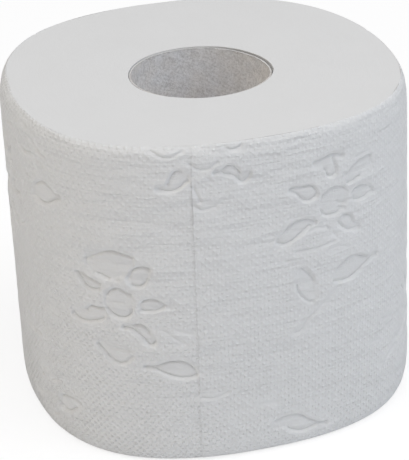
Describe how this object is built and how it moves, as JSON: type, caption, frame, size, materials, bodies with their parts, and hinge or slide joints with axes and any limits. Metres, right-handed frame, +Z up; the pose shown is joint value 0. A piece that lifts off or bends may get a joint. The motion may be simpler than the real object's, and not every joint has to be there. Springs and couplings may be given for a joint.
{
  "type": "toilet paper roll",
  "caption": "Toilet paper roll: soft white tissue, embossed with flowers and leaves, wound on a recycled board core, standing on one end.",
  "frame": {"origin": "on the core's axis, level with the end that the roll stands on", "axes": "+Z up along the core's axis; -Y towards the front, where the web's tail edge shows; +X to the right as seen from the front"},
  "size_m": [0.1138, 0.1138, 0.095],
  "materials": {
    "tissue": "soft, matt, finely embossed white tissue",
    "core_board": "matt grey-beige recycled board"
  },
  "bodies": {
    "root": {"tissue_roll": "tissue", "core_tube": "core_board"}
  },
  "joints": []
}
